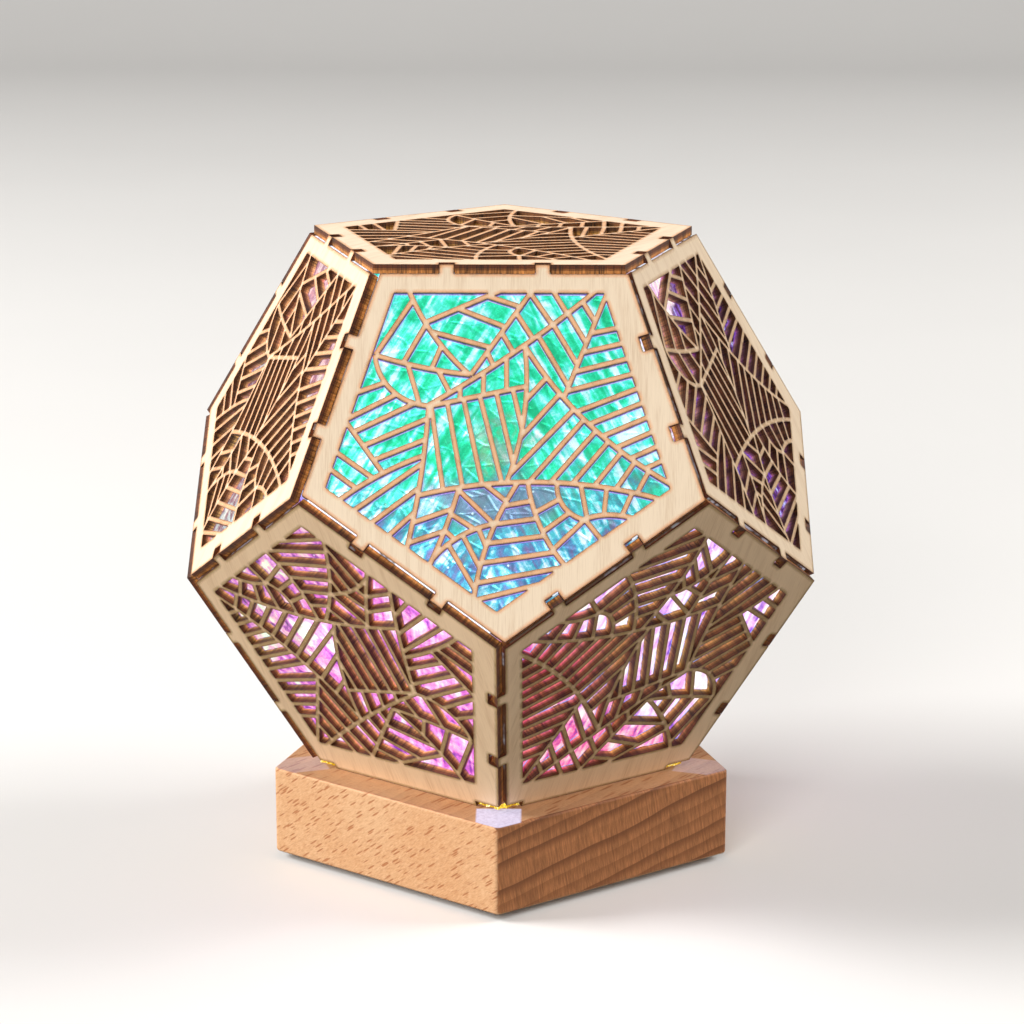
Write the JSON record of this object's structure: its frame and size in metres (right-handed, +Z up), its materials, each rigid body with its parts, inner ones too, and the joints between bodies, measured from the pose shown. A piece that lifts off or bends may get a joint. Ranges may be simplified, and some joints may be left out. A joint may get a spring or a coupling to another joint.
{
  "type": "lattice table lamp",
  "caption": "Dodecahedral openwork plywood lamp shade lined with iridescent film, on a pentagonal beech base with a rear power inlet and button.",
  "frame": {"origin": "centre of the plane that the feet stand on", "axes": "+Z up; -Y is the front, where a corner of the base points; +Y is the back with the inlet"},
  "size_m": [0.1374, 0.1446, 0.1397],
  "materials": {
    "plywood": "bare laser-cut plywood",
    "film": "iridescent film",
    "beech": "oiled beech",
    "cover_ply": "bare plywood",
    "rubber": "matt",
    "steel": "plated",
    "ring_metal": "satin",
    "inlet_metal": "drawn",
    "button_metal": "turned",
    "white_board": "solder mask",
    "green_board": "solder mask",
    "light_chip": "lit",
    "opal": "frosted",
    "black_plastic": "moulded",
    "red_wire": "sleeve",
    "black_wire": "sleeve"
  },
  "bodies": {
    "base": {"base_block": "beech", "black_wire": "black_wire", "bottom_cover": "cover_ply", "control_board": "green_board", "control_board_screws": "steel", "cover_screws": "steel", "diffuser_disc": "opal", "diffuser_ring": "ring_metal", "driver_chip": "black_plastic", "feet": "rubber", "inlet_bezel": "black_plastic", "inlet_shell": "inlet_metal", "inlet_tongue": "black_plastic", "light_board": "white_board", "light_board_screws": "steel", "light_chips": "light_chip", "red_wire": "red_wire", "switch_body": "black_plastic"},
    "shade": {"lower_panel_1": "plywood", "lower_panel_2": "plywood", "lower_panel_3": "plywood", "lower_panel_4": "plywood", "lower_panel_5": "plywood", "top_panel": "plywood", "upper_panel_1": "plywood", "upper_panel_2": "plywood", "upper_panel_3": "plywood", "upper_panel_4": "plywood", "upper_panel_5": "plywood", "lower_film_1": "film", "lower_film_2": "film", "lower_film_3": "film", "lower_film_4": "film", "lower_film_5": "film", "top_film": "film", "upper_film_1": "film", "upper_film_2": "film", "upper_film_3": "film", "upper_film_4": "film", "upper_film_5": "film", "film_corner_folds": "film"},
    "button": {"power_button": "button_metal"}
  },
  "joints": [
    {"name": "shade_lift", "type": "slide", "parent": "base", "child": "shade", "axis": [0, 0, 1], "range_m": [0, 0.13]},
    {"name": "power_press", "type": "slide", "parent": "base", "child": "button", "axis": [0, -1, 0], "range_m": [0, 0.001], "stiffness_N_per_m": 300, "springref_m": -0.002}
  ]
}
